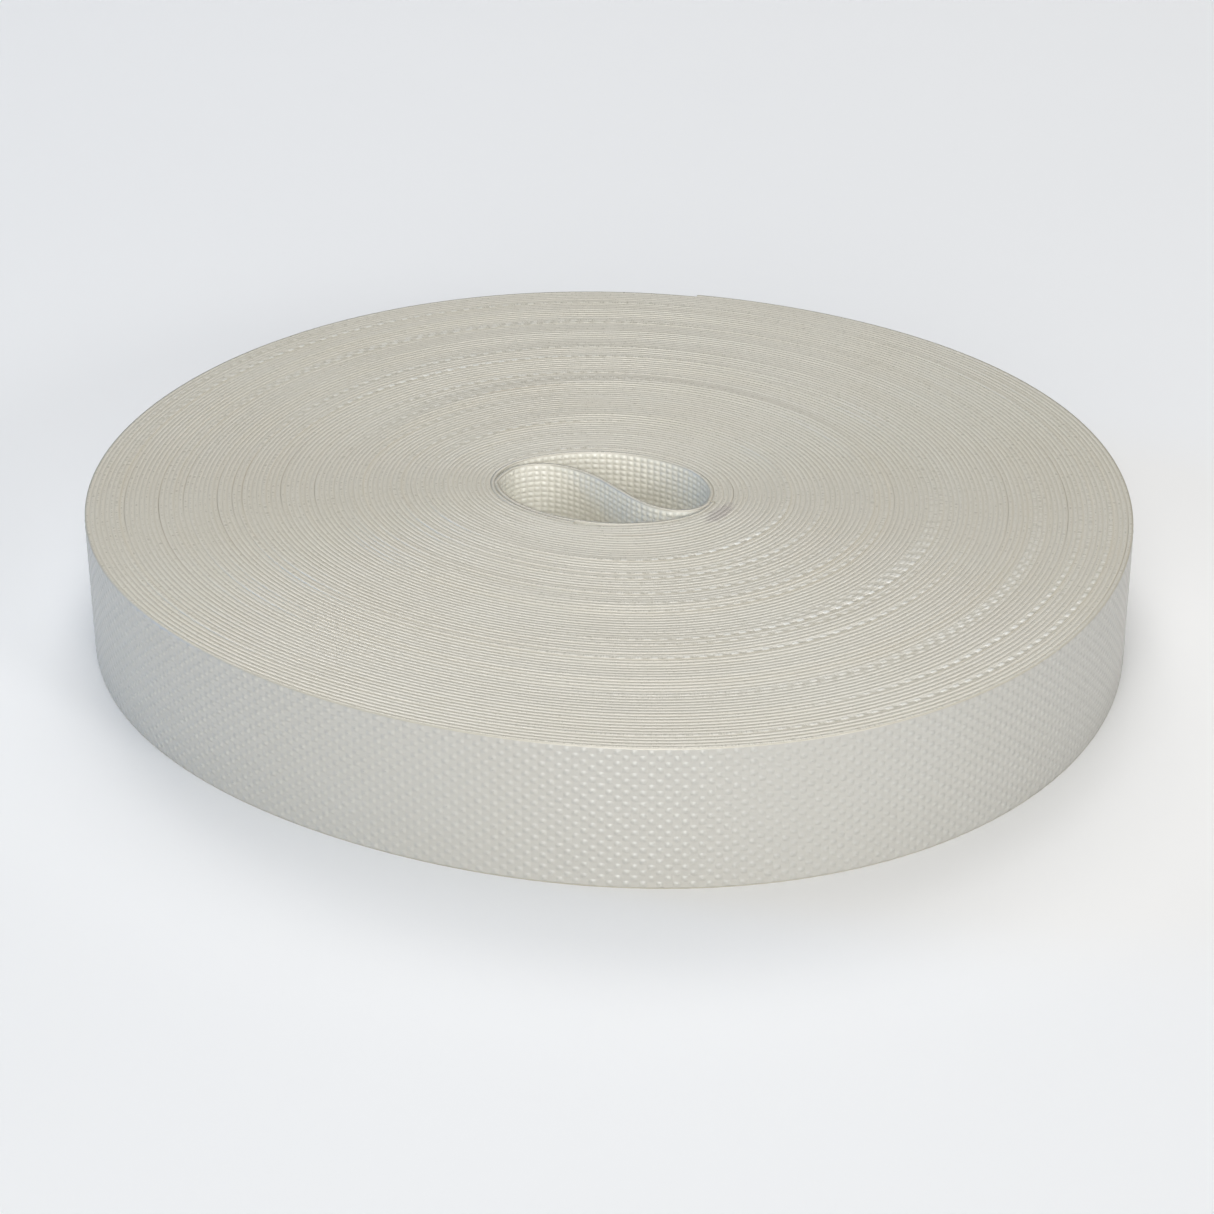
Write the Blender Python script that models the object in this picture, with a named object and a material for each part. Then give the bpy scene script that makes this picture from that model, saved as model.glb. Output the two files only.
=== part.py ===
"""Roll of flat woven polyester webbing, lying on its side.

One strip of webbing, 25 mm wide, is wound on itself with no core. Its solid is the wound form:
a low disc, not quite round, with a spiral outline, groups of turns that stand slightly proud or
low on the upper face, and an oval hole through the middle. The strip's start crosses that hole as an S, because
it was gripped by a split winding pin, and leaves a pocket on either side of it.
Units are metres, +Z is up, and the roll rests on z = 0 with its box centred on the origin.
"""
import math
from collections import namedtuple

import bmesh
import bpy
from mathutils import Vector

# Driving dimensions
WEB_WIDTH = 0.025            # width of the webbing, which is the height of the roll
WEB_THICKNESS = 0.00087      # one wound turn
ROLL_RADIUS = 0.0900         # mean radius of the outermost turn
BOTTOM_EDGE = 0.0004         # rounding of the outer turn's edges

# The outermost turn isn't quite a circle round the winding axis: shares of the mean radius by which
# it swells, as waves that go round once, twice, three and four times
OutlineWave = namedtuple("OutlineWave", "cosine sine")
OUTLINE_WAVES = (
    OutlineWave(-0.0191, -0.0162),
    OutlineWave(0.0063, -0.0239),
    OutlineWave(-0.0076, 0.0008),
    OutlineWave(0.0007, 0.0074),
)

# Where the strip ends on the outside, out of sight at the back
END_ANGLE = math.radians(80)
END_SLOPE = math.radians(0.6)     # angle over which the cut end steps down one turn
END_LIFT = 0.0003                 # how far the loose end relaxes outwards
LIFT_SPAN = math.radians(110)     # length of the relaxed stretch

# Hole through the middle: a tilted oval, slightly pointed at its left end
HOLE_CENTRE = Vector((-0.00277, -0.00117))
HOLE_HALF_LENGTH = 0.01870
HOLE_HALF_WIDTH = 0.01362
HOLE_TILT = math.radians(-15)
HOLE_POINT = 0.040

# The strip's start, which crosses the hole
CORE_THICKNESS = 0.0010
CORE_INSET = 0.0003               # its edges lie just inside the roll's two faces

# Fineness of the mesh
OUTLINE_STEPS = 120
HOLE_STEPS = 72
CORE_STEPS_PER_POINT = 4
GROUP_SLOPE = 0.0009              # width of the slope between two groups of turns
CUT_MARGIN = 0.002                # how far the hole's cutter passes both faces

# Groups of turns on the upper face, from the hole outwards: where each group ends as a share of
# the roll's radius, and how far its edges stand above the webbing's nominal width
TurnGroup = namedtuple("TurnGroup", "outer_share rise")
TURN_GROUPS = (
    TurnGroup(0.310, 0.0000),
    TurnGroup(0.345, 0.0004),
    TurnGroup(0.480, 0.0000),
    TurnGroup(0.510, 0.0003),
    TurnGroup(0.595, -0.0002),
    TurnGroup(0.645, 0.0002),
    TurnGroup(0.705, 0.0004),
    TurnGroup(0.745, 0.0000),
    TurnGroup(0.790, 0.0003),
    TurnGroup(0.865, -0.0001),
    TurnGroup(0.905, 0.0002),
    TurnGroup(0.970, 0.0000),
    TurnGroup(0.990, -0.0002),
)

# Centre line of the crossing strip, from inside the wall at the left end to inside the wall at
# the front right
CorePoint = namedtuple("CorePoint", "x y")
CORE_LINE = (
    CorePoint(-0.0223, 0.0005),
    CorePoint(-0.0207, 0.0041),
    CorePoint(-0.0182, 0.0067),
    CorePoint(-0.0144, 0.0081),
    CorePoint(-0.0107, 0.0075),
    CorePoint(-0.0069, 0.0054),
    CorePoint(-0.0035, 0.0021),
    CorePoint(-0.0004, -0.0020),
    CorePoint(0.0026, -0.0059),
    CorePoint(0.0059, -0.0090),
    CorePoint(0.0097, -0.0108),
    CorePoint(0.0139, -0.0115),
)

# Finish of the webbing
CREAM = (0.58, 0.55, 0.50, 1.0)
SATIN_ROUGHNESS = 0.55


def remove_old_objects():
    for old in list(bpy.data.objects):
        bpy.data.objects.remove(old, do_unlink=True)


def webbing_material():
    material = bpy.data.materials.new("cream_polyester_webbing")
    material.use_nodes = True
    shader = material.node_tree.nodes["Principled BSDF"]
    shader.inputs["Base Color"].default_value = CREAM
    shader.inputs["Roughness"].default_value = SATIN_ROUGHNESS
    shader.inputs["Metallic"].default_value = 0.0
    return material


def smooth_step(share):
    share = min(max(share, 0.0), 1.0)
    return share * share * (3.0 - 2.0 * share)


def outline_angles():
    """Angles round the roll, counter-clockwise from just after the cut end up to the cut end."""
    first = END_ANGLE + END_SLOPE - 2.0 * math.pi
    step = (2.0 * math.pi - END_SLOPE) / (OUTLINE_STEPS - 1)
    return [first + step * k for k in range(OUTLINE_STEPS)]


def plan_radius(angle):
    """Mean radius of the outermost turn at an angle round the winding axis."""
    swell = 1.0
    for count, wave in enumerate(OUTLINE_WAVES, start=1):
        swell += wave.cosine * math.cos(count * angle) + wave.sine * math.sin(count * angle)
    return ROLL_RADIUS * swell


def spiral_step(angle):
    """How far the outermost turn stands off its mean: it gains one thickness a turn and relaxes at its end."""
    turn_share = (END_ANGLE - angle) / (2.0 * math.pi)
    lift = END_LIFT * smooth_step(1.0 - (END_ANGLE - angle) / LIFT_SPAN)
    return WEB_THICKNESS * (0.5 - turn_share) + lift


def outline_radius(angle):
    return plan_radius(angle) + spiral_step(angle)


def upper_profile():
    """Radius shares and heights of the upper face's rings, from the middle outwards."""
    profile = []
    half_slope = 0.5 * GROUP_SLOPE / ROLL_RADIUS
    for group, following in zip(TURN_GROUPS, TURN_GROUPS[1:]):
        profile.append((group.outer_share - half_slope, WEB_WIDTH + group.rise))
        profile.append((group.outer_share + half_slope, WEB_WIDTH + following.rise))
    return profile


def ring(mesh, angles, share, height, inset=0.0):
    """One closed ring of points. Only rings near the rim follow the spiral outline."""
    points = []
    spiral_share = smooth_step((share - 0.9) / 0.1)
    for angle in angles:
        radius = share * (plan_radius(angle) + spiral_step(angle) * spiral_share) - inset
        points.append(mesh.verts.new((radius * math.cos(angle), radius * math.sin(angle), height)))
    return points


def join_rings(mesh, lower, upper):
    count = len(lower)
    for k in range(count):
        following = (k + 1) % count
        mesh.faces.new((lower[k], lower[following], upper[following], upper[k]))


def wound_disc(material):
    """The wound form without its hole: flat below, ringed above, spiral outside."""
    mesh = bmesh.new()
    angles = outline_angles()
    edge_height = WEB_WIDTH + TURN_GROUPS[-1].rise
    rings = [
        ring(mesh, angles, 1.0, 0.0, inset=BOTTOM_EDGE),
        ring(mesh, angles, 1.0, BOTTOM_EDGE),
        ring(mesh, angles, 1.0, edge_height - BOTTOM_EDGE),
        ring(mesh, angles, 1.0, edge_height, inset=BOTTOM_EDGE),
    ]
    for share, height in reversed(upper_profile()):
        rings.append(ring(mesh, angles, share, height))
    for lower, upper in zip(rings, rings[1:]):
        join_rings(mesh, lower, upper)
    mesh.faces.new(rings[-1])
    mesh.faces.new(list(reversed(rings[0])))
    return new_object("webbing_roll", mesh, material)


def new_object(name, mesh, material=None):
    bmesh.ops.recalc_face_normals(mesh, faces=mesh.faces)
    data = bpy.data.meshes.new(name)
    mesh.to_mesh(data)
    mesh.free()
    if material is not None:
        data.materials.append(material)
    piece = bpy.data.objects.new(name, data)
    bpy.context.collection.objects.link(piece)
    return piece


def hole_outline():
    points = []
    for k in range(HOLE_STEPS):
        turn = 2.0 * math.pi * k / HOLE_STEPS
        along = HOLE_HALF_LENGTH * math.cos(turn)
        across = HOLE_HALF_WIDTH * math.sin(turn) * (1.0 + HOLE_POINT * math.cos(turn))
        x = HOLE_CENTRE.x + along * math.cos(HOLE_TILT) - across * math.sin(HOLE_TILT)
        y = HOLE_CENTRE.y + along * math.sin(HOLE_TILT) + across * math.cos(HOLE_TILT)
        points.append(Vector((x, y)))
    return points


def smooth_line(control, steps):
    """A smooth line through the control points, with a fixed number of steps between two of them."""
    points = [Vector((p.x, p.y)) for p in control]
    padded = [2 * points[0] - points[1]] + points + [2 * points[-1] - points[-2]]
    line = []
    for before, start, end, after in zip(padded, padded[1:], padded[2:], padded[3:]):
        for k in range(steps):
            t = k / steps
            line.append(0.5 * (2 * start + (end - before) * t
                               + (2 * before - 5 * start + 4 * end - after) * t ** 2
                               + (3 * start - before - 3 * end + after) * t ** 3))
    line.append(points[-1])
    return line


def strip_outline(line, thickness):
    """The closed outline of a strip of constant thickness along a line."""
    one_side = []
    other_side = []
    for k, point in enumerate(line):
        ahead = line[min(k + 1, len(line) - 1)]
        behind = line[max(k - 1, 0)]
        along = (ahead - behind).normalized()
        across = Vector((-along.y, along.x)) * (0.5 * thickness)
        one_side.append(point + across)
        other_side.append(point - across)
    return one_side + list(reversed(other_side))


def prism(name, outline, low, high):
    """A straight prism on a closed outline, used as a guide for a cut or a join."""
    mesh = bmesh.new()
    lower = [mesh.verts.new((p.x, p.y, low)) for p in outline]
    upper = [mesh.verts.new((p.x, p.y, high)) for p in outline]
    join_rings(mesh, lower, upper)
    mesh.faces.new(upper)
    mesh.faces.new(list(reversed(lower)))
    guide = new_object(name, mesh)
    guide.hide_render = True
    guide.display_type = "WIRE"
    return guide


def add_boolean(piece, guide, operation):
    modifier = piece.modifiers.new(guide.name, "BOOLEAN")
    modifier.operation = operation
    modifier.solver = "EXACT"
    modifier.object = guide


def shade(piece):
    piece.data.shade_smooth()
    piece.data.set_sharp_from_angle(angle=math.radians(25))


def centre_on_origin(pieces):
    """Moves everything so that the box of the outermost turn is centred on the origin."""
    outline = [(outline_radius(a) * math.cos(a), outline_radius(a) * math.sin(a)) for a in outline_angles()]
    for axis in (0, 1):
        values = [point[axis] for point in outline]
        middle = 0.5 * (min(values) + max(values))
        for piece in pieces:
            piece.location[axis] = -middle


def build():
    remove_old_objects()
    roll = wound_disc(webbing_material())
    hole = prism("hole_guide", hole_outline(), -CUT_MARGIN, WEB_WIDTH + CUT_MARGIN)
    core_line = smooth_line(CORE_LINE, CORE_STEPS_PER_POINT)
    core = prism("core_guide", strip_outline(core_line, CORE_THICKNESS), CORE_INSET, WEB_WIDTH - CORE_INSET)
    shade(roll)
    centre_on_origin((roll, hole, core))
    add_boolean(roll, hole, "DIFFERENCE")
    add_boolean(roll, core, "UNION")


build()
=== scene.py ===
"""Looks of the roll of polyester webbing: the wound strip itself, its weave, finish, light and camera.

The strip is followed along its whole length: from its cut start, round the right pocket of the
hole, across the hole, round the left pocket and out through every turn to the cut end. Its plan
is a line at the middle of its thickness; a section with rounded, looped edges is swept along it.
Units are metres in the row's frame.
"""
import math
from collections import namedtuple

import bpy
import numpy as np
from mathutils import Matrix, Vector


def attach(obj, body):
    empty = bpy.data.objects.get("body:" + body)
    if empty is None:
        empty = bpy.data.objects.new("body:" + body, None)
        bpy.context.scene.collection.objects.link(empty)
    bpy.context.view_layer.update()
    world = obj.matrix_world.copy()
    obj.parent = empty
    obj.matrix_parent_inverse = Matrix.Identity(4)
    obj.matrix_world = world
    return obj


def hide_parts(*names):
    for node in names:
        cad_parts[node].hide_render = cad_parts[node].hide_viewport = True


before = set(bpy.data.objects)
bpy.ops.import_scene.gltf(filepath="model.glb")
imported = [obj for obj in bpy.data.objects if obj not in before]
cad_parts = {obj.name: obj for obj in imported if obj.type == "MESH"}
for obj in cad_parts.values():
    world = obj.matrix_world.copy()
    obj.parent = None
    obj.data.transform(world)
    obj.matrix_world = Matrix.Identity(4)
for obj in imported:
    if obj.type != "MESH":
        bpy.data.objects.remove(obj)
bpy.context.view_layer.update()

TAU = 2.0 * math.pi
MM = 0.001

# The webbing
WEB_WIDTH = 25.0 * MM
WEB_THICKNESS = 0.79 * MM
WARP_ENDS = 24
PICK_PITCH = 1.286 * MM
LOOP_PITCH = 2.0 * PICK_PITCH      # the weft turns round each edge at every second pick

# The roll, as in the part's source
ROLL_RADIUS = 90.0 * MM
END_ANGLE = math.radians(80)
END_LIFT = 0.1 * MM
LIFT_SPAN = math.radians(110)
TURNS = 85
AXIS = Vector((2.138 * MM, 1.768 * MM))    # the winding axis in the row's frame

# The outermost turn isn't quite a circle round the winding axis: shares of the mean radius by which
# it swells, as waves that go round once, twice, three and four times
OutlineWave = namedtuple("OutlineWave", "cosine sine")
OUTLINE_WAVES = (
    OutlineWave(-0.0191, -0.0162),
    OutlineWave(0.0063, -0.0239),
    OutlineWave(-0.0076, 0.0008),
    OutlineWave(0.0007, 0.0074),
)

# The hole's rim: a tilted oval, slightly pointed at its left end
HOLE_CENTRE = (-2.77 * MM, -1.17 * MM)
HOLE_HALF_LENGTH = 18.70 * MM
HOLE_HALF_WIDTH = 13.62 * MM
HOLE_TILT = math.radians(-15)
HOLE_POINT = 0.040

# Where the strip's start lies against the wall of the hole, in degrees round the axis
START_CUT = 242.6
START_LEAVES_WALL = -22.3
CROSSING_MEETS_WALL = 176.3

# The strip across the hole, from the front right to the left end
PlanPoint = namedtuple("PlanPoint", "x y")
CROSSING = (
    PlanPoint(14.9, -8.5),
    PlanPoint(12.7, -10.3),
    PlanPoint(9.5, -10.6),
    PlanPoint(5.9, -9.0),
    PlanPoint(2.6, -5.9),
    PlanPoint(-0.4, -2.0),
    PlanPoint(-3.5, 2.1),
    PlanPoint(-6.9, 5.4),
    PlanPoint(-10.7, 7.5),
    PlanPoint(-14.4, 8.1),
    PlanPoint(-18.0, 7.0),
    PlanPoint(-20.0, 4.8),
)

# Places where every later turn passes over one layer more or one less, in degrees of winding
LayerStep = namedtuple("LayerStep", "middle width change")
LAYER_STEPS = (
    LayerStep(301.0, 36.0, 1.0),    # over the start, where it leaves the wall
    LayerStep(521.7, 50.0, 1.0),    # over the first turn, where it meets the wall
    LayerStep(623.2, 40.0, -1.0),   # past the start's cut
)
STEP_SPREAD = 0.25                  # share by which a step widens with each turn

# Groups of turns on the upper face: where a group ends as a share of the radius, and how far its
# edges stand above the webbing's nominal width, in mm
TurnGroup = namedtuple("TurnGroup", "outer_share rise")
TURN_GROUPS = (
    TurnGroup(0.205, 0.00),
    TurnGroup(0.235, 0.03),
    TurnGroup(0.268, 0.00),
    TurnGroup(0.310, 0.00),
    TurnGroup(0.345, 0.18),
    TurnGroup(0.400, 0.03),
    TurnGroup(0.445, 0.00),
    TurnGroup(0.483, -0.03),
    TurnGroup(0.515, 0.13),
    TurnGroup(0.560, -0.10),
    TurnGroup(0.595, -0.06),
    TurnGroup(0.645, 0.07),
    TurnGroup(0.705, 0.16),
    TurnGroup(0.745, 0.01),
    TurnGroup(0.790, 0.11),
    TurnGroup(0.830, -0.06),
    TurnGroup(0.865, -0.03),
    TurnGroup(0.905, 0.08),
    TurnGroup(0.950, 0.01),
    TurnGroup(0.985, 0.00),
    TurnGroup(1.020, -0.07),
)
FIRST_SHARE = 0.14                  # where the first group begins

# Slack between two turns: radius of the gap, its middle and length round the axis in degrees, and
# its greatest width; radius and width in mm
Gap = namedtuple("Gap", "radius middle span width")
GAPS = (
    Gap(21.0, 25.5, 62.0, 0.083),
    Gap(19.8, 355.1, 80.0, 0.073),
    Gap(20.0, 284.1, 70.0, 0.067),
    Gap(22.5, 212.9, 50.0, 0.060),
    Gap(22.8, 186.1, 40.0, 0.053),
    Gap(27.2, 336.0, 70.0, 0.040),
    Gap(29.2, 126.5, 60.0, 0.040),
    Gap(36.0, 185.9, 60.0, 0.040),
    Gap(44.2, 118.8, 60.0, 0.040),
    Gap(46.5, 5.3, 70.0, 0.040),
    Gap(52.9, 180.8, 60.0, 0.043),
    Gap(59.2, 173.9, 60.0, 0.053),
    Gap(58.9, 118.7, 70.0, 0.047),
    Gap(65.3, 178.8, 50.0, 0.047),
    Gap(67.0, 181.8, 56.0, 0.047),
    Gap(60.7, 57.8, 80.0, 0.040),
    Gap(69.0, 191.8, 80.0, 0.053),
    Gap(66.8, 357.5, 60.0, 0.040),
    Gap(76.0, 175.8, 40.0, 0.047),
    Gap(77.2, 357.5, 64.0, 0.053),
    Gap(78.8, 195.9, 90.0, 0.057),
    Gap(82.7, 123.5, 70.0, 0.047),
    Gap(86.0, 181.7, 50.0, 0.050),
    Gap(88.7, 336.3, 50.0, 0.040),
)
GAP_SPREAD = 6                      # turns on either side that close up to open a gap

# Unevenness of the turns
PACKING = 0.998                     # the strip's thickness as a share of its turn's room
PROUD_SPACING = 0.16                # length over which a stretch of the strip rises and falls
PROUD_FROM = 0.30                   # noise from which it stands proud
PROUD_SEED = 3
PROUD_RISE = 0.10 * MM
UNEVEN_SPACING = 0.04
UNEVEN_RISE = 0.012 * MM
UNEVEN_SEED = 4

# Edges of the strip: the weft turns round them in loops
EDGE_ROUND = 0.04 * MM              # height over which an edge is rounded
SHOULDER = 0.93                     # half width of an edge's flat top, as a share of the strip's
SHOULDER_DROP = 0.02 * MM
SHOULDER_HOLLOW = 0.15
PRESSED_HOLLOW = 0.25               # how hollow a groove between two turns is without slack
FULL_SLACK = 0.045 * MM             # slack at which it is a full hollow
LOOP_DEPTH = 0.10 * MM
PRESSED_LOOP = 0.12                 # share of the loops' depth left where the strip isn't proud
LOOP_NECK = 0.90                    # width between two loops, as a share of the loops'
# Where the loops stay open, deepened and with a painted highlight on their crowns: at the back left and
# front right.
HIGHLIT_LOOPS_ANGLE = math.radians(125)
CLOSED_LOOPS = 0.04
OPEN_FOCUS = 6                      # how fast the loops close away from there

# The raised weave of the two faces: each crossing is a bead, and the warp floats among them stand
# out as dots in a checkerboard, less so on the strip's start
FACE_MARGIN = 0.31 * MM             # from the upper edge down to the first warp end
WEAVE_CROWN = 0.170 * MM
DOT_SHARE = 0.66
START_DOT_SHARE = 0.15
VALLEY = 0.110 * MM
FACE_HOLLOW = 0.35                  # how deep the weave's valleys count as hollows, for painted shade and roughness

# Fineness of the sweep
PATH_STEP = math.radians(0.5)
WALL_STEP = 4.0                     # degrees between two points where the strip's start lies on the wall
FIRST_STRETCH = 24.0                # degrees over which the crossing is joined to the first turn
CORE_STEPS = 16                     # steps between two points of the strip's start and crossing
RIM_STEPS = 1440
LOOP_SEGMENTS = 3
PICK_SEGMENTS = 4
END_SEGMENTS = 3
TURN_PIECES = 6
CORE_ENDS_AT = math.radians(335)    # winding at which the inner woven piece stops, behind the crossing
OUTER_SPLIT = math.radians(252)     # and how far before its end the outer turn is split, out of sight


def smooth_step(share):
    share = np.clip(share, 0.0, 1.0)
    return share * share * (3.0 - 2.0 * share)


def hole_rim_table():
    """The rim of the hole in polar form round the winding axis: sorted angles and radii."""
    turn = np.linspace(0.0, TAU, RIM_STEPS, endpoint=False)
    along = HOLE_HALF_LENGTH * np.cos(turn)
    across = HOLE_HALF_WIDTH * np.sin(turn) * (1.0 + HOLE_POINT * np.cos(turn))
    x = HOLE_CENTRE[0] + along * math.cos(HOLE_TILT) - across * math.sin(HOLE_TILT)
    y = HOLE_CENTRE[1] + along * math.sin(HOLE_TILT) + across * math.cos(HOLE_TILT)
    angles = np.arctan2(y, x) % TAU
    order = np.argsort(angles)
    return angles[order], np.hypot(x, y)[order]


RIM_ANGLES, RIM_RADII = hole_rim_table()


def hole_rim(angle):
    return np.interp(angle % TAU, RIM_ANGLES, RIM_RADII, period=TAU)


def plan_radius(angle):
    """Mean radius of the outermost turn at an angle round the winding axis."""
    swell = 1.0
    for count, wave in enumerate(OUTLINE_WAVES, start=1):
        swell = swell + wave.cosine * np.cos(count * angle) + wave.sine * np.sin(count * angle)
    return ROLL_RADIUS * swell


def layers_inside(angle):
    """How many layers of webbing lie inside the strip at this angle of winding."""
    degrees = np.degrees(angle)
    layers = np.zeros_like(degrees)
    for step in LAYER_STEPS:
        for turn in range(TURNS + 1):
            width = min(360.0, step.width * (1.0 + STEP_SPREAD * turn))
            layers += step.change * np.clip((degrees - step.middle - 360.0 * turn) / width + 0.5, 0.0, 1.0)
    return layers


def start_layers_inside(angle):
    """The same for the strip's start, which the first turn passes inside beyond the crossing."""
    over = LAYER_STEPS[1]
    return np.clip((np.degrees(angle) + 360.0 - over.middle) / over.width + 0.5, 0.0, 1.0)


LAST_ANGLE = END_ANGLE + TAU * TURNS
LAYERS = float(layers_inside(np.array([LAST_ANGLE]))[0]) + 0.5


def pitch_at(angle):
    """Radial distance from one turn to the next."""
    return (plan_radius(angle) - hole_rim(angle)) / LAYERS


def gap_windings():
    """The gaps' middles as angles of winding, from their radii."""
    found = []
    for gap in GAPS:
        middle = math.radians(gap.middle)
        turn = (gap.radius * MM - hole_rim(middle)) / pitch_at(middle) - middle / TAU
        found.append(middle + TAU * max(0, round(turn - 0.5)))
    return found


def gap_outside(angle):
    """Width of the gap just outside the strip at an angle of winding."""
    width = np.zeros_like(angle)
    for gap, middle in zip(GAPS, GAP_WINDINGS):
        share = 1.0 - np.abs(angle - middle) / math.radians(0.5 * gap.span)
        width += gap.width * MM * smooth_step(share)
    return width


def gap_shift(angle):
    """How far the strip is moved outwards by gaps on its inner side and inwards by those outside it."""
    shift = np.zeros_like(angle)
    for turn in range(GAP_SPREAD):
        share = 0.5 * (1.0 - turn / GAP_SPREAD)
        shift -= share * gap_outside(angle + TAU * turn)
        shift += share * gap_outside(angle - TAU * (turn + 1))
    return shift


def in_plan(angle, layers):
    """Plan points of the strip's middle line at an angle of winding, with that many layers inside it."""
    radius = hole_rim(angle) + (layers + 0.5) * pitch_at(angle) + gap_shift(angle)
    radius += END_LIFT * smooth_step(1.0 - (LAST_ANGLE - angle) / LIFT_SPAN)
    return np.stack([radius * np.cos(angle), radius * np.sin(angle)], axis=1)


GAP_WINDINGS = gap_windings()


def smooth_line(points, steps):
    """A smooth line through the points, with a number of steps between each two."""
    points = np.vstack([2 * points[0] - points[1], points, 2 * points[-1] - points[-2]])
    t = (np.arange(steps) / steps)[:, None]
    parts = []
    for before, start, end, after in zip(points, points[1:], points[2:], points[3:]):
        parts.append(0.5 * (2 * start + (end - before) * t
                            + (2 * before - 5 * start + 4 * end - after) * t ** 2
                            + (3 * start - before - 3 * end + after) * t ** 3))
    parts.append(points[-2:-1])
    return np.vstack(parts)


def whole_path():
    """Plan points of the whole strip, from its start in the hole to its end on the outside, and
    the angles of winding of those in its turns, which come last."""
    start_angles = np.radians(np.arange(START_CUT, START_LEAVES_WALL, -WALL_STEP))
    start = in_plan(start_angles, start_layers_inside(start_angles))
    crossing = np.array([(p.x, p.y) for p in CROSSING]) * MM
    first_end = CROSSING_MEETS_WALL + FIRST_STRETCH
    first_angles = np.radians(np.arange(CROSSING_MEETS_WALL, first_end, WALL_STEP))
    first = in_plan(first_angles, layers_inside(first_angles))
    core = smooth_line(np.vstack([start, crossing, first]), CORE_STEPS)
    angles = np.arange(first_angles[-1] + PATH_STEP, LAST_ANGLE, PATH_STEP)
    turns = in_plan(angles, layers_inside(angles))
    return np.vstack([core, turns]), angles


def lengths_along(points):
    return np.concatenate([[0.0], np.cumsum(np.hypot(*np.diff(points, axis=0).T))])


PATH, TURN_ANGLES = whole_path()
PATH_LENGTHS = lengths_along(PATH)
WEB_LENGTH = float(PATH_LENGTHS[-1])


def length_at_turn(angle):
    """Length along the strip at which it reaches this angle of winding, beyond the crossing."""
    return float(np.interp(angle, TURN_ANGLES, PATH_LENGTHS[-len(TURN_ANGLES):]))


def path_at(lengths):
    """Plan points and outward directions of the strip at these lengths from its start."""
    reach = 0.3 * MM

    def at(values):
        values = np.clip(values, 0.0, WEB_LENGTH)
        return np.stack([np.interp(values, PATH_LENGTHS, PATH[:, axis]) for axis in (0, 1)], axis=1)

    points = at(lengths)
    along = at(lengths + reach) - at(lengths - reach)
    along /= np.linalg.norm(along, axis=1)[:, None]
    outward = np.stack([along[:, 1], -along[:, 0]], axis=1)
    return points, outward


def slow_noise(values, spacing, seed):
    """Smooth noise between -1 and 1 along a length."""
    random = np.random.default_rng(seed)
    count = int(WEB_LENGTH / spacing) + 4
    knots = random.uniform(-1.0, 1.0, count)
    place = values / spacing
    low = np.clip(place.astype(int), 0, count - 2)
    share = smooth_step(place - low)
    return knots[low] * (1.0 - share) + knots[low + 1] * share


def thickness_at(points):
    """The strip fills its turn's room but for a hair, and keeps its own thickness in the hole."""
    angle = np.arctan2(points[:, 1], points[:, 0])
    inside = np.hypot(points[:, 0], points[:, 1]) < hole_rim(angle)
    return np.where(inside, WEB_THICKNESS, PACKING * pitch_at(angle))


def proud_at(lengths):
    """How proud of its neighbours the strip stands, from 0 to 1."""
    return smooth_step((slow_noise(lengths, PROUD_SPACING, PROUD_SEED) - PROUD_FROM) / (1.0 - PROUD_FROM))


def rise_at(lengths, points):
    """How far the strip's upper edge stands above its nominal height."""
    share = np.linalg.norm(points, axis=1) / plan_radius(np.arctan2(points[:, 1], points[:, 0]))
    ends = np.array([group.outer_share for group in TURN_GROUPS])
    rises = np.array([group.rise for group in TURN_GROUPS]) * MM
    middles = 0.5 * (np.concatenate([[FIRST_SHARE], ends[:-1]]) + ends)
    base = np.interp(share, middles, rises)
    uneven = UNEVEN_RISE * slow_noise(lengths, UNEVEN_SPACING, UNEVEN_SEED)
    return base + PROUD_RISE * proud_at(lengths) + uneven


def strip_mesh(name, lengths, profile):
    """Sweeps a section along the strip. The profile gives, for each length, the section's points
    as offsets outwards, heights and hollowness, all with the same count."""
    points, outward = path_at(lengths)
    offset, height, hollow = profile(lengths, points)
    nominal = height - rise_at(lengths, points)[:, None]
    count, around = offset.shape
    centre = np.array([AXIS.x, AXIS.y])
    plan = centre + points[:, None, :] + outward[:, None, :] * offset[:, :, None]
    coords = np.concatenate([plan, height[:, :, None]], axis=2).reshape(-1, 3)
    along = np.repeat(lengths, around)
    # The hollowness goes to the finish: painted shade where it is high, painted highlight on open loops
    # where it is negative.
    values = np.stack([along, nominal.ravel(), hollow.ravel()], axis=1)
    rows = np.arange(count - 1)[:, None] * around
    cols = np.arange(around)[None, :]
    following = (cols + 1) % around
    corners = (rows + cols, rows + following, rows + around + following, rows + around + cols)
    quads = np.stack(corners, axis=2).reshape(-1, 4)

    # The two cut ends have points of their own, so that they don't bend the shading of the sides
    first_cap = count * around + np.arange(around)[::-1]
    last_cap = (count + 1) * around + np.arange(around)
    coords = np.concatenate([coords, coords[:around], coords[-around:]])
    values = np.concatenate([values, values[:around], values[-around:]])
    mesh = bpy.data.meshes.new(name)
    mesh.vertices.add(len(coords))
    mesh.vertices.foreach_set("co", coords.ravel())
    loops = np.concatenate([quads.ravel(), first_cap, last_cap])
    starts = np.concatenate([np.arange(len(quads)) * 4, [len(quads) * 4, len(quads) * 4 + around]])
    mesh.loops.add(len(loops))
    mesh.loops.foreach_set("vertex_index", loops.astype(np.int32))
    mesh.polygons.add(len(starts))
    mesh.polygons.foreach_set("loop_start", starts.astype(np.int32))
    place = mesh.attributes.new("strip", "FLOAT_VECTOR", "POINT")
    place.data.foreach_set("vector", values.astype(np.float32).ravel())
    mesh.update(calc_edges=True)
    mesh.validate()
    mesh.shade_smooth()
    piece = bpy.data.objects.new(name, mesh)
    bpy.context.collection.objects.link(piece)
    return piece


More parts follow.
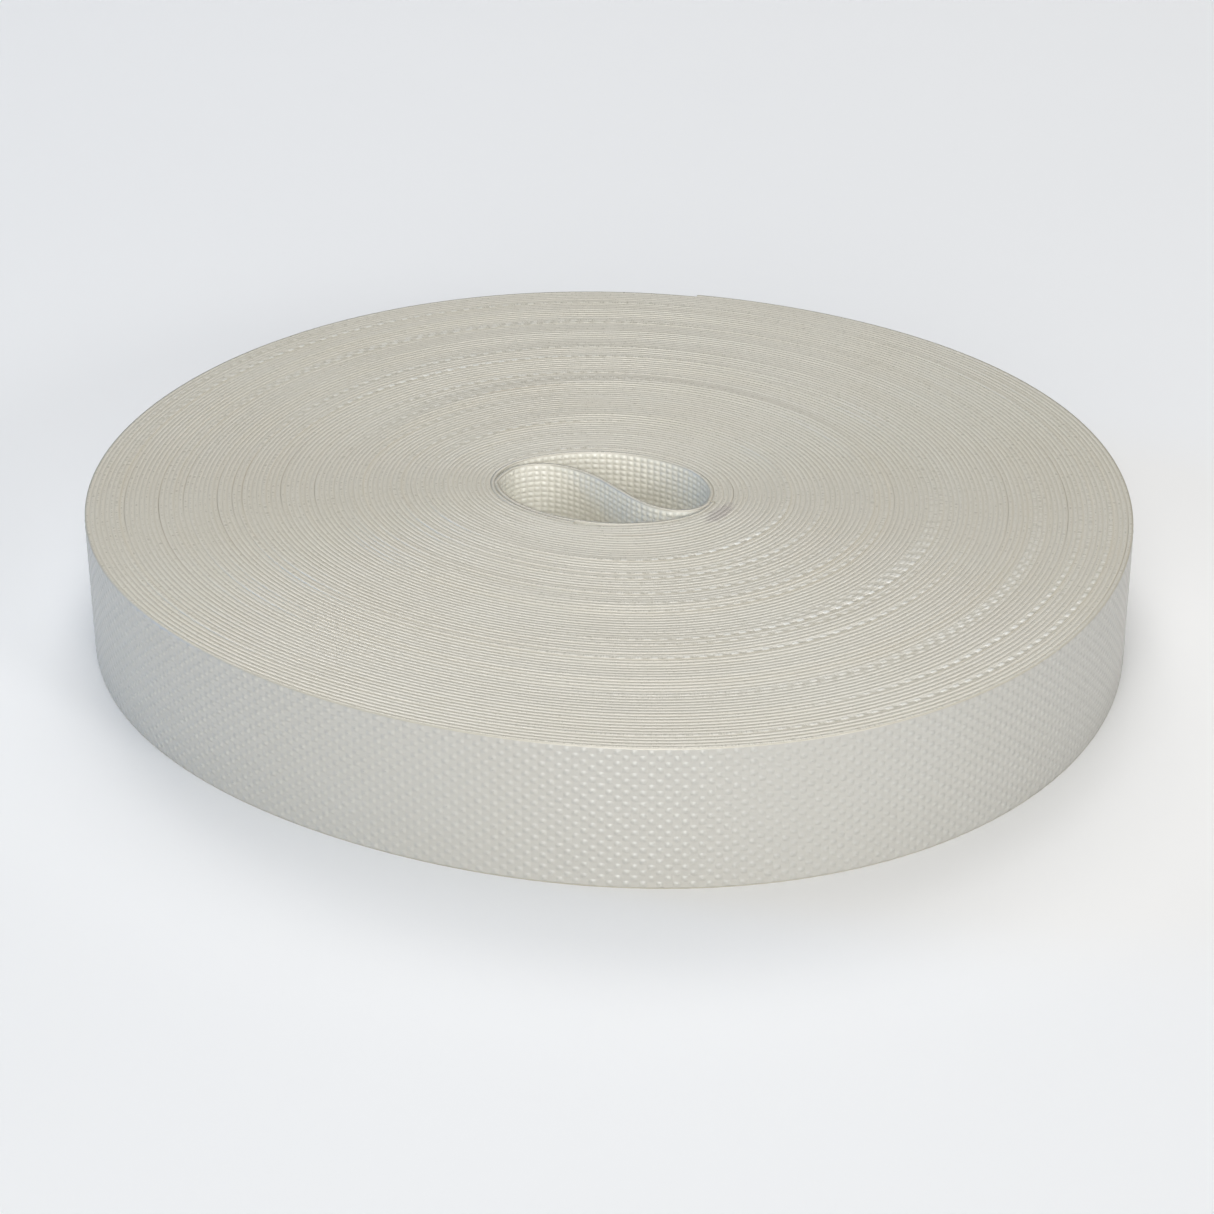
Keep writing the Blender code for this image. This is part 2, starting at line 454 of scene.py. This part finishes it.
def loops_open_and_highlit(points):
    """Share of the loops left open, most at the back left and front right, where open loops are deepened
    and get a painted highlight.
    """
    angle = np.arctan2(points[:, 1], points[:, 0])
    return CLOSED_LOOPS + (1.0 - CLOSED_LOOPS) * np.cos(angle - HIGHLIT_LOOPS_ANGLE) ** OPEN_FOCUS


def loop_swell(lengths, shift):
    """From 0 between two weft loops of an edge to 1 on the crown of a loop."""
    phase = lengths / LOOP_PITCH + shift
    return 0.5 + 0.5 * np.cos(TAU * phase)


def heights(lengths, points):
    """Upper and lower edge of the strip: proud stretches are shifted up, none goes below the floor."""
    rise = rise_at(lengths, points)
    return WEB_WIDTH + rise, np.maximum(rise, 0.0)


def groove_hollow(slack):
    return PRESSED_HOLLOW + (1.0 - PRESSED_HOLLOW) * np.clip(slack / FULL_SLACK, 0.0, 1.0)


class Section:
    """The points round the strip's section, each given for every length."""

    def __init__(self, lengths, points):
        self.offsets = []
        self.heights = []
        self.hollows = []
        self.half = 0.5 * thickness_at(points)
        self.top, self.bottom = heights(lengths, points)
        self.upper_loop = loop_swell(lengths, 0.5)
        self.lower_loop = loop_swell(lengths, 0.0)
        self.open_loop = proud_at(lengths) * loops_open_and_highlit(points)
        winding = np.interp(lengths, PATH_LENGTHS[-len(TURN_ANGLES):], TURN_ANGLES)
        self.outer_groove = groove_hollow(gap_outside(winding))
        self.inner_groove = groove_hollow(gap_outside(winding - TAU))

    def add(self, offset, height, hollow):
        level = np.zeros_like(self.half)
        self.offsets.append(level + offset)
        self.heights.append(level + height)
        self.hollows.append(level + hollow)

    def add_edge(self, side, upper):
        """Three points over an edge, from one face to the other: side is 1 from the outer face."""
        loop = self.upper_loop if upper else self.lower_loop
        neck = (PRESSED_LOOP + (1.0 - PRESSED_LOOP) * self.open_loop) * (1.0 - loop)
        drop = LOOP_DEPTH * neck
        shoulder = SHOULDER * self.half * (1.0 - (1.0 - LOOP_NECK) * neck)
        crown = self.top - drop if upper else self.bottom + drop
        shoulder_height = crown - SHOULDER_DROP if upper else crown + SHOULDER_DROP
        shoulder_hollow = SHOULDER_HOLLOW - 0.5 * self.open_loop
        self.add(side * shoulder, shoulder_height, shoulder_hollow)
        # A negative hollowness on the crown marks where an open loop gets its painted highlight.
        self.add(0.0, crown, -self.open_loop)
        self.add(-side * shoulder, shoulder_height, shoulder_hollow)

    def face_height(self, level):
        """Height of a level on the face, counted in warp ends from the upper edge."""
        high = self.top - FACE_MARGIN
        low = self.bottom + FACE_MARGIN
        return high + (low - high) * level / WARP_ENDS

    def columns(self):
        """Offsets, heights and hollowness, each with a row for every length."""
        return tuple(np.stack(values, axis=1) for values in (self.offsets, self.heights, self.hollows))


def turn_profile(lengths, points):
    """Section of an inner turn: flat sides, an upper edge of weft loops and a plain lower one."""
    section = Section(lengths, points)
    section.add(section.half, section.top - EDGE_ROUND, section.outer_groove)
    section.add(section.half, section.bottom, 1.0)
    section.add(-section.half, section.bottom, 1.0)
    section.add(-section.half, section.top - EDGE_ROUND, section.inner_groove)
    section.add_edge(-1.0, True)
    return section.columns()


def weave_relief(pick, end, dot_share):
    """Height and hollowness of a plain weave at a place counted in picks and warp ends."""
    crossing = np.sin(math.pi * pick) * np.sin(math.pi * end)
    share = dot_share * (0.5 + 0.5 * crossing) + (1.0 - dot_share) * np.abs(crossing)
    return WEAVE_CROWN * share - VALLEY, FACE_HOLLOW * (1.0 - share)


def woven_profile(lengths, points, inner_face_shows):
    """Section of a turn whose faces show: the plain weave is raised on them."""
    section = Section(lengths, points)
    dot_share = START_DOT_SHARE if inner_face_shows else DOT_SHARE
    levels = np.arange(END_SEGMENTS * WARP_ENDS + 1) / END_SEGMENTS
    pick = lengths / PICK_PITCH
    for level in levels:
        raised, hollow = weave_relief(pick, level, dot_share)
        section.add(section.half + raised, section.face_height(level), hollow)
    section.add_edge(1.0, False)
    if inner_face_shows:
        for level in reversed(levels):
            raised, hollow = weave_relief(pick, level, dot_share)
            section.add(-section.half - raised, section.face_height(level), hollow)
    else:
        section.add(-section.half, section.bottom + EDGE_ROUND, 1.0)
        section.add(-section.half, section.top - EDGE_ROUND, section.inner_groove)
    section.add_edge(-1.0, True)
    return section.columns()


def outer_profile(lengths, points):
    return woven_profile(lengths, points, inner_face_shows=False)


def core_profile(lengths, points):
    return woven_profile(lengths, points, inner_face_shows=True)


def spaced(start, end, step):
    """Lengths from start to end on the strip's own grid of picks or loops."""
    first = math.ceil(start / step)
    last = math.floor(end / step)
    return np.arange(first, last + 1) * step


def build_strip(material):
    """The strip in pieces: woven in the hole and on the outside, plain-sided in between."""
    pieces = []
    pick_step = PICK_PITCH / PICK_SEGMENTS
    loop_step = LOOP_PITCH / LOOP_SEGMENTS
    core_end = length_at_turn(CORE_ENDS_AT)
    outer_start = length_at_turn(LAST_ANGLE - TAU)
    outer_split = length_at_turn(LAST_ANGLE - OUTER_SPLIT)
    core = spaced(0.0, core_end, pick_step)
    pieces.append(strip_mesh("webbing_core", core, core_profile))
    bounds = [core[-1]]
    total = outer_start - core[-1]
    for part in range(TURN_PIECES):
        bounds.append(core[-1] + total * (part + 1) / TURN_PIECES)
    for part in range(TURN_PIECES):
        lengths = spaced(bounds[part], bounds[part + 1] + loop_step, loop_step)
        pieces.append(strip_mesh(f"webbing_turns_{part + 1}", lengths, turn_profile))
    for name, start, end in (("webbing_outer_left", outer_start, outer_split),
                             ("webbing_outer_end", outer_split, WEB_LENGTH)):
        lengths = spaced(start, min(end + pick_step, WEB_LENGTH), pick_step)
        pieces.append(strip_mesh(name, lengths, outer_profile))
    for piece in pieces:
        piece.data.materials.append(material)
        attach(piece, "root")
        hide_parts("webbing_roll")
    return pieces


def new_node(tree, kind, **settings):
    node = tree.nodes.new(kind)
    for key, value in settings.items():
        setattr(node, key, value)
    return node


def math_node(tree, operation, first, second=None, third=None):
    """A math node on sockets or plain numbers; returns its output."""
    node = new_node(tree, "ShaderNodeMath", operation=operation)
    for socket, value in zip(node.inputs, (first, second, third)):
        if isinstance(value, bpy.types.NodeSocket):
            tree.links.new(value, socket)
        elif value is not None:
            socket.default_value = value
    return node.outputs[0]


def ramp_node(tree, factor, low, high):
    """Eases from 0 to 1 as the factor goes from low to high."""
    node = new_node(tree, "ShaderNodeMapRange", interpolation_type="SMOOTHSTEP")
    tree.links.new(factor, node.inputs["Value"])
    node.inputs["From Min"].default_value = low
    node.inputs["From Max"].default_value = high
    return node.outputs["Result"]


def mix_colours(tree, factor, first, second):
    """Mixes two colours, each a socket or a plain colour."""
    node = new_node(tree, "ShaderNodeMix", data_type="RGBA")
    tree.links.new(factor, node.inputs[0])
    for socket, value in ((node.inputs[6], first), (node.inputs[7], second)):
        if isinstance(value, bpy.types.NodeSocket):
            tree.links.new(value, socket)
        else:
            socket.default_value = value
    return node.outputs[2]


def noise_node(tree, vector, scale, detail=2.0, roughness=0.5):
    node = new_node(tree, "ShaderNodeTexNoise")
    tree.links.new(vector, node.inputs["Vector"])
    node.inputs["Scale"].default_value = scale
    node.inputs["Detail"].default_value = detail
    node.inputs["Roughness"].default_value = roughness
    return node.outputs["Fac"]


def combine_node(tree, x, y, z=0.0):
    node = new_node(tree, "ShaderNodeCombineXYZ")
    for socket, value in zip(node.inputs, (x, y, z)):
        if isinstance(value, bpy.types.NodeSocket):
            tree.links.new(value, socket)
        else:
            socket.default_value = value
    return node.outputs[0]


# Colours of the webbing
EDGE_CREAM = (0.614, 0.581, 0.492, 1.0)
EDGE_CREAM_WARM = (0.595, 0.553, 0.453, 1.0)
# The faces' cream is darker than the edges': painted shade on the strip's sides.
FACE_CREAM_SHADED = (0.500, 0.494, 0.458, 1.0)
FACE_CREAM_WARM_SHADED = (0.490, 0.479, 0.434, 1.0)
# Painted light: the strip's start, in the hole, is painted near white.
START_PAINTED_LIGHT_CREAM = (0.930, 0.910, 0.820, 1.0)
START_LENGTH = 0.35                 # length of the strip's start, in the hole, which is painted paler as painted light in the hole
# Painted shade: brown darkening in the hollows, in the gaps between turns and in the weave's valleys.
CREVICE_SHADE_BROWN = (0.42, 0.34, 0.24, 1.0)
# Painted highlight on the crowns of open loops.
LOOP_HIGHLIGHT_CREAM = (0.95, 0.94, 0.88, 1.0)
DASH_FROM = 0.30                    # half length of the painted highlight on an open loop's crown, as a share of half the loops' pitch: full up to the first, gone at the second
DASH_TO = 0.60                      # the loops' pitch: full up to the first, gone at the second
SMUDGE = (0.30, 0.255, 0.24, 1.0)
VALLEY_SHADE = 0.10                  # painted shade: how far the valleys between the yarns are darkened to brown and the hollows and slack between two turns
HOLLOW_SHADE = 0.7                   # and in the slack between two turns
HOLLOW_FOCUS = 3.0
SMUDGE_STRENGTH = 0.55

# How the cream's tone varies: waves per metre along the strip and through space, the share of the
# first, and the range of noise from plain to warm
BATCH_WAVES = 6.0
CLOUD_WAVES = 45.0
BATCH_SHARE = 0.6
TONE_FROM = 0.30
TONE_TO = 0.70

# Finish of the yarns
CROWN_ROUGHNESS = 0.28
HOLLOW_ROUGHNESS = 0.30             # added to it in the hollows
FILAMENT_ROUGHNESS = 0.16           # spread of it from filament to filament
POLYESTER_IOR = 1.57
SATIN_SPECULAR = 1.0
SHEEN = 0.08
SHEEN_ROUGHNESS = 0.4

# Filaments of the yarns: noise across and along them, in waves per metre
FILAMENT_FINE = 9000.0
FILAMENT_SLOW = 900.0
FILAMENT_RELIEF = 0.010 * MM
WEAVE_RELIEF = 0.80                 # share of the weave's height that the finish adds to the mesh
LOOP_RELIEF = 0.060 * MM

# The smudge on the turns' edges beside the hole
SMUDGE_PLACE = (17.2 * MM, -11.8 * MM)
SMUDGE_TURN = math.radians(59)
SMUDGE_HALF_LENGTH = 5.0 * MM
SMUDGE_HALF_WIDTH = 1.7 * MM
SMUDGE_WAVES = 900.0
SMUDGE_RAGGED = 2.2                 # how far the noise pushes its border in and out
SMUDGE_FROM = 0.1                   # squared distance at which it begins to fade
SMUDGE_TO = 1.1
SMUDGE_DEPTH = 1.5 * MM             # how far below the upper edges it is gone


def weave_places(tree, along, height):
    """Where a point lies in the weave: its pick and warp end, each as a running count."""
    end_pitch = (WEB_WIDTH - 2.0 * FACE_MARGIN) / WARP_ENDS
    below_edge = math_node(tree, "SUBTRACT", WEB_WIDTH - FACE_MARGIN, height)
    return math_node(tree, "DIVIDE", along, PICK_PITCH), math_node(tree, "DIVIDE", below_edge, end_pitch)


def swing_node(tree, place):
    """A wave that passes zero at each border between two picks or ends."""
    return math_node(tree, "SINE", math_node(tree, "MULTIPLY", place, math.pi))


def switch_node(tree, factor, first, second):
    """The first value where the factor is 0, the second where it is 1."""
    node = new_node(tree, "ShaderNodeMix", data_type="FLOAT")
    for socket, value in zip((node.inputs[0], node.inputs[2], node.inputs[3]), (factor, first, second)):
        tree.links.new(value, socket)
    return node.outputs[0]


def weave_share(tree, pick, end, on_start):
    """The raised weave in the finish, from 0 in its deepest valleys to 1, as in the mesh."""
    crossing = math_node(tree, "MULTIPLY", swing_node(tree, pick), swing_node(tree, end))
    dots = math_node(tree, "MULTIPLY_ADD", crossing, 0.5, 0.5)
    beads = math_node(tree, "ABSOLUTE", crossing)
    dot_share = math_node(tree, "MULTIPLY_ADD", on_start, START_DOT_SHARE - DOT_SHARE, DOT_SHARE)
    return switch_node(tree, dot_share, beads, dots)


def loop_dashes(tree, along):
    """The crowns of the loops along an edge, where open loops get their painted highlight and relief."""
    share = math_node(tree, "FRACT", math_node(tree, "DIVIDE", along, LOOP_PITCH))
    off = math_node(tree, "ABSOLUTE", math_node(tree, "MULTIPLY_ADD", share, 2.0, -1.0))
    return math_node(tree, "SUBTRACT", 1.0, ramp_node(tree, off, DASH_FROM, DASH_TO))


def filament_noise(tree, along, height, weft_up):
    """Filaments of the yarns: along the strip on warp floats, across it on weft floats."""
    fine_along = math_node(tree, "MULTIPLY", along, FILAMENT_FINE)
    fine_height = math_node(tree, "MULTIPLY", height, FILAMENT_FINE)
    slow_along = math_node(tree, "MULTIPLY", along, FILAMENT_SLOW)
    slow_height = math_node(tree, "MULTIPLY", height, FILAMENT_SLOW)
    warp = noise_node(tree, combine_node(tree, slow_along, fine_height), 1.0)
    weft = noise_node(tree, combine_node(tree, fine_along, slow_height), 1.0)
    return switch_node(tree, weft_up, warp, weft)


def smudge_mask(tree, position):
    """An uneven oval that lies along the turns."""
    place = new_node(tree, "ShaderNodeVectorMath", operation="SUBTRACT")
    tree.links.new(position, place.inputs[0])
    place.inputs[1].default_value = (SMUDGE_PLACE[0] + AXIS.x, SMUDGE_PLACE[1] + AXIS.y, 0.0)
    turned = new_node(tree, "ShaderNodeVectorRotate", rotation_type="Z_AXIS")
    tree.links.new(place.outputs[0], turned.inputs["Vector"])
    turned.inputs["Angle"].default_value = -SMUDGE_TURN
    parts = new_node(tree, "ShaderNodeSeparateXYZ")
    tree.links.new(turned.outputs[0], parts.inputs[0])
    length = math_node(tree, "DIVIDE", parts.outputs[0], SMUDGE_HALF_LENGTH)
    width = math_node(tree, "DIVIDE", parts.outputs[1], SMUDGE_HALF_WIDTH)
    squared = math_node(tree, "ADD", math_node(tree, "POWER", math_node(tree, "ABSOLUTE", length), 2.0),
                        math_node(tree, "POWER", math_node(tree, "ABSOLUTE", width), 2.0))
    noise = noise_node(tree, position, SMUDGE_WAVES, 3.0, 0.7)
    uneven = math_node(tree, "MULTIPLY_ADD", noise, SMUDGE_RAGGED, -0.5 * SMUDGE_RAGGED)
    reach = math_node(tree, "ADD", squared, uneven)
    inside = math_node(tree, "SUBTRACT", 1.0, ramp_node(tree, reach, SMUDGE_FROM, SMUDGE_TO))
    gone = WEB_WIDTH - SMUDGE_DEPTH
    upper = ramp_node(tree, parts.outputs[2], gone, gone + 1.0 * MM)
    return math_node(tree, "MULTIPLY", inside, upper)


class StripPlace:
    """Where a shaded point lies on the strip and in its weave, as sockets."""

    def __init__(self, tree):
        strip = new_node(tree, "ShaderNodeAttribute", attribute_name="strip")
        parts = new_node(tree, "ShaderNodeSeparateXYZ")
        tree.links.new(strip.outputs["Vector"], parts.inputs[0])
        self.along, self.height, hollow = parts.outputs
        self.position = new_node(tree, "ShaderNodeTexCoord").outputs["Object"]
        pick, end = weave_places(tree, self.along, self.height)
        count = math_node(tree, "ADD", math_node(tree, "FLOOR", pick), math_node(tree, "FLOOR", end))
        weft_up = math_node(tree, "FLOORED_MODULO", count, 2.0)
        above_middle = math_node(tree, "SUBTRACT", self.height, 0.5 * WEB_WIDTH)
        off_middle = math_node(tree, "ABSOLUTE", above_middle)
        face_ends = 0.5 * WEB_WIDTH - FACE_MARGIN
        self.at_edge = ramp_node(tree, off_middle, face_ends, face_ends + 0.5 * FACE_MARGIN)
        self.on_face = math_node(tree, "SUBTRACT", 1.0, self.at_edge)
        # On the start the faces get painted light, and the weave's dots are fainter.
        self.on_start = ramp_node(tree, self.along, START_LENGTH, 0.5 * START_LENGTH)
        self.weave = weave_share(tree, pick, end, self.on_start)
        self.filaments = filament_noise(tree, self.along, self.height, weft_up)
        # Positive hollowness sets painted shade; negative hollowness sets the painted highlight on open
        # loops.
        self.inward = math_node(tree, "MAXIMUM", hollow, 0.0)
        open_loop = math_node(tree, "MAXIMUM", math_node(tree, "MULTIPLY", hollow, -1.0), 0.0)
        self.highlit_loop_crowns = math_node(tree, "MULTIPLY", open_loop, loop_dashes(tree, self.along))


def cream_with_painted_light_and_shade(tree, place):
    """Cream that varies along the strip, warmer on its edges, with painted shade darkening its faces and
    painted light making its start in the hole paler.
    """
    batch = noise_node(tree, combine_node(tree, place.along, 0.0), BATCH_WAVES, 3.0, 0.6)
    cloud = noise_node(tree, place.position, CLOUD_WAVES, 2.0)
    batch = math_node(tree, "MULTIPLY", batch, BATCH_SHARE)
    tone = math_node(tree, "ADD", batch, math_node(tree, "MULTIPLY", cloud, 1.0 - BATCH_SHARE))
    tone = ramp_node(tree, tone, TONE_FROM, TONE_TO)
    edge = mix_colours(tree, tone, EDGE_CREAM, EDGE_CREAM_WARM)
    face = mix_colours(tree, tone, FACE_CREAM_SHADED, FACE_CREAM_WARM_SHADED)
    face = mix_colours(tree, place.on_start, face, START_PAINTED_LIGHT_CREAM)
    return mix_colours(tree, place.at_edge, face, edge)


def webbing_colour(tree, place):
    """Painted shade, browner and darker in the hollows and gaps; a painted highlight on the crowns of open
    loops; and one smudge.
    """
    colour = cream_with_painted_light_and_shade(tree, place)
    # Painted shade in the hollows and gaps, and below in the weave's valleys.
    deep = math_node(tree, "POWER", place.inward, HOLLOW_FOCUS)
    colour = mix_colours(tree, math_node(tree, "MULTIPLY", deep, HOLLOW_SHADE), colour, CREVICE_SHADE_BROWN)
    colour = mix_colours(tree, place.highlit_loop_crowns, colour, LOOP_HIGHLIGHT_CREAM)
    valley = math_node(tree, "MULTIPLY", math_node(tree, "SUBTRACT", 1.0, place.weave), place.on_face)
    colour = mix_colours(tree, math_node(tree, "MULTIPLY", valley, VALLEY_SHADE), colour, CREVICE_SHADE_BROWN)
    smudge = math_node(tree, "MULTIPLY", smudge_mask(tree, place.position), SMUDGE_STRENGTH)
    return mix_colours(tree, smudge, colour, SMUDGE)


def webbing_roughness(tree, place):
    """Glossier on the crowns of the yarns than between them."""
    gloss = math_node(tree, "MULTIPLY_ADD", place.inward, HOLLOW_ROUGHNESS, CROWN_ROUGHNESS)
    grain = math_node(tree, "MULTIPLY_ADD", place.filaments, FILAMENT_ROUGHNESS, -0.5 * FILAMENT_ROUGHNESS)
    return math_node(tree, "ADD", gloss, grain)


def webbing_relief(tree, place):
    """Fine relief that the mesh is too coarse for: yarns, filaments and the crowns of open loops."""
    yarns = math_node(tree, "MULTIPLY", place.weave, place.on_face)
    relief = math_node(tree, "MULTIPLY", yarns, WEAVE_RELIEF * WEAVE_CROWN)
    relief = math_node(tree, "ADD", relief, math_node(tree, "MULTIPLY", place.filaments, FILAMENT_RELIEF))
    relief = math_node(tree, "ADD", relief, math_node(tree, "MULTIPLY", place.highlit_loop_crowns, LOOP_RELIEF))
    bump = new_node(tree, "ShaderNodeBump")
    bump.inputs["Strength"].default_value = 1.0
    bump.inputs["Distance"].default_value = 1.0
    tree.links.new(relief, bump.inputs["Height"])
    return bump.outputs["Normal"]


def webbing_material():
    material = bpy.data.materials.new("cream_polyester_weave")
    material.use_nodes = True
    tree = material.node_tree
    shader = tree.nodes["Principled BSDF"]
    place = StripPlace(tree)
    tree.links.new(webbing_colour(tree, place), shader.inputs["Base Color"])
    tree.links.new(webbing_roughness(tree, place), shader.inputs["Roughness"])
    tree.links.new(webbing_relief(tree, place), shader.inputs["Normal"])
    shader.inputs["IOR"].default_value = POLYESTER_IOR
    shader.inputs["Specular IOR Level"].default_value = SATIN_SPECULAR
    shader.inputs["Sheen Weight"].default_value = SHEEN
    shader.inputs["Sheen Roughness"].default_value = SHEEN_ROUGHNESS
    return material


def look_at(piece, place, target, roll=0.0):
    back = (place - target).normalized()
    right = Vector((0.0, 0.0, 1.0)).cross(back).normalized()
    up = back.cross(right)
    turned_right = math.cos(roll) * right + math.sin(roll) * up
    turned_up = -math.sin(roll) * right + math.cos(roll) * up
    piece.matrix_world = Matrix((
        (turned_right.x, turned_up.x, back.x, place.x),
        (turned_right.y, turned_up.y, back.y, place.y),
        (turned_right.z, turned_up.z, back.z, place.z),
        (0.0, 0.0, 0.0, 1.0),
    ))


# Camera, fitted to the roll's outline in the photo
PHOTO_SIDE = 1214.0
FOCAL_PIXELS = 3226.2
SENSOR = 36.0
DISTANCE = 6.338 * ROLL_RADIUS
ELEVATION = math.radians(26.944)
ROLL = math.radians(-0.225)
AXIS_PIXEL = (619.56, 547.07)


def add_camera():
    data = bpy.data.cameras.new("camera")
    data.sensor_width = SENSOR
    data.lens = FOCAL_PIXELS / PHOTO_SIDE * SENSOR
    data.clip_start = 0.01
    camera = bpy.data.objects.new("camera", data)
    bpy.context.collection.objects.link(camera)
    centre = Vector((AXIS.x, AXIS.y, 0.5 * WEB_WIDTH))
    back = Vector((0.0, -math.cos(ELEVATION), math.sin(ELEVATION)))
    right = Vector((1.0, 0.0, 0.0))
    up = back.cross(right)
    turned_right = math.cos(ROLL) * right + math.sin(ROLL) * up
    turned_up = -math.sin(ROLL) * right + math.cos(ROLL) * up
    place = centre + back * DISTANCE
    aim_right = -(AXIS_PIXEL[0] - 0.5 * PHOTO_SIDE) / FOCAL_PIXELS * DISTANCE
    aim_up = (AXIS_PIXEL[1] - 0.5 * PHOTO_SIDE) / FOCAL_PIXELS * DISTANCE
    target = centre + turned_right * aim_right + turned_up * aim_up
    look_at(camera, place, target, ROLL)
    bpy.context.scene.camera = camera


Softbox = namedtuple("Softbox", "name azimuth elevation size power colour")
SOFTBOXES = (
    Softbox("front_low", -6, 14, 1.40, 20.0, (1.0, 1.0, 1.0)),
    Softbox("front_high", -4, 50, 1.50, 15.0, (1.0, 1.0, 0.98)),
    Softbox("overhead", 180, 75, 1.20, 9.0, (1.0, 1.0, 1.0)),
    Softbox("sparkle", 42, 20, 0.45, 7.5, (1.0, 1.0, 1.0)),
    Softbox("back_right", 160, 48, 1.00, 4.5, (1.0, 1.0, 1.0)),
    Softbox("back", 180, 48, 1.10, 4.0, (1.0, 1.0, 1.0)),
    Softbox("back_left", -160, 46, 0.80, 4.0, (1.0, 0.97, 0.93)),
    Softbox("left_sky", -102, 18, 0.60, 6.0, (0.02, 0.40, 1.0)),
)
SOFTBOX_DISTANCE = 2.0


def add_softbox(softbox):
    """A round area light aimed at the roll. Its azimuth is counted from the camera's side to the right."""
    azimuth = math.radians(softbox.azimuth)
    elevation = math.radians(softbox.elevation)
    direction = Vector((math.sin(azimuth) * math.cos(elevation),
                        -math.cos(azimuth) * math.cos(elevation),
                        math.sin(elevation)))
    data = bpy.data.lights.new(softbox.name, "AREA")
    data.shape = "DISK"
    data.size = softbox.size
    data.energy = softbox.power
    data.color = softbox.colour
    light = bpy.data.objects.new(softbox.name, data)
    bpy.context.collection.objects.link(light)
    look_at(light, SOFTBOX_DISTANCE * direction, Vector((0.0, 0.0, 0.0)))


FLOOR_WHITE = (0.94, 0.94, 0.94, 1.0)
FLOOR_SHADE = (0.92, 0.92, 0.92, 1.0)
FLOOR_HALF_SIDE = 3.0
MOTTLE_WAVES = 5.0
GRAIN_WAVES = 1500.0
FLOOR_ROUGHNESS = 0.65
FLOOR_ROUGHNESS_SPREAD = 0.10

AIR_COLOUR = (0.93, 0.96, 1.0, 1.0)
AIR_STRENGTH = 0.03


def floor_material():
    """Matt white board with a faint mottle and a fine grain."""
    material = bpy.data.materials.new("studio_floor")
    material.use_nodes = True
    tree = material.node_tree
    shader = tree.nodes["Principled BSDF"]
    position = new_node(tree, "ShaderNodeTexCoord").outputs["Object"]
    mottle = noise_node(tree, position, MOTTLE_WAVES, 4.0, 0.6)
    grain = noise_node(tree, position, GRAIN_WAVES, 2.0, 0.6)
    roughness = math_node(tree, "MULTIPLY_ADD", grain, FLOOR_ROUGHNESS_SPREAD, FLOOR_ROUGHNESS)
    tree.links.new(mix_colours(tree, mottle, FLOOR_WHITE, FLOOR_SHADE), shader.inputs["Base Color"])
    tree.links.new(roughness, shader.inputs["Roughness"])
    return material


def add_floor():
    mesh = bpy.data.meshes.new("floor")
    side = FLOOR_HALF_SIDE
    corners = [(-side, -side, 0), (side, -side, 0), (side, side, 0), (-side, side, 0)]
    mesh.from_pydata(corners, [], [(0, 1, 2, 3)])
    floor = bpy.data.objects.new("floor", mesh)
    bpy.context.collection.objects.link(floor)
    floor.data.materials.append(floor_material())


def add_world():
    world = bpy.data.worlds.new("studio")
    bpy.context.scene.world = world
    world.use_nodes = True
    background = world.node_tree.nodes["Background"]
    background.inputs["Color"].default_value = AIR_COLOUR
    background.inputs["Strength"].default_value = AIR_STRENGTH


def main():
    add_camera()
    build_strip(webbing_material())
    add_floor()
    add_world()
    for softbox in SOFTBOXES:
        add_softbox(softbox)
    bpy.context.scene.view_settings.view_transform = "Standard"


main()
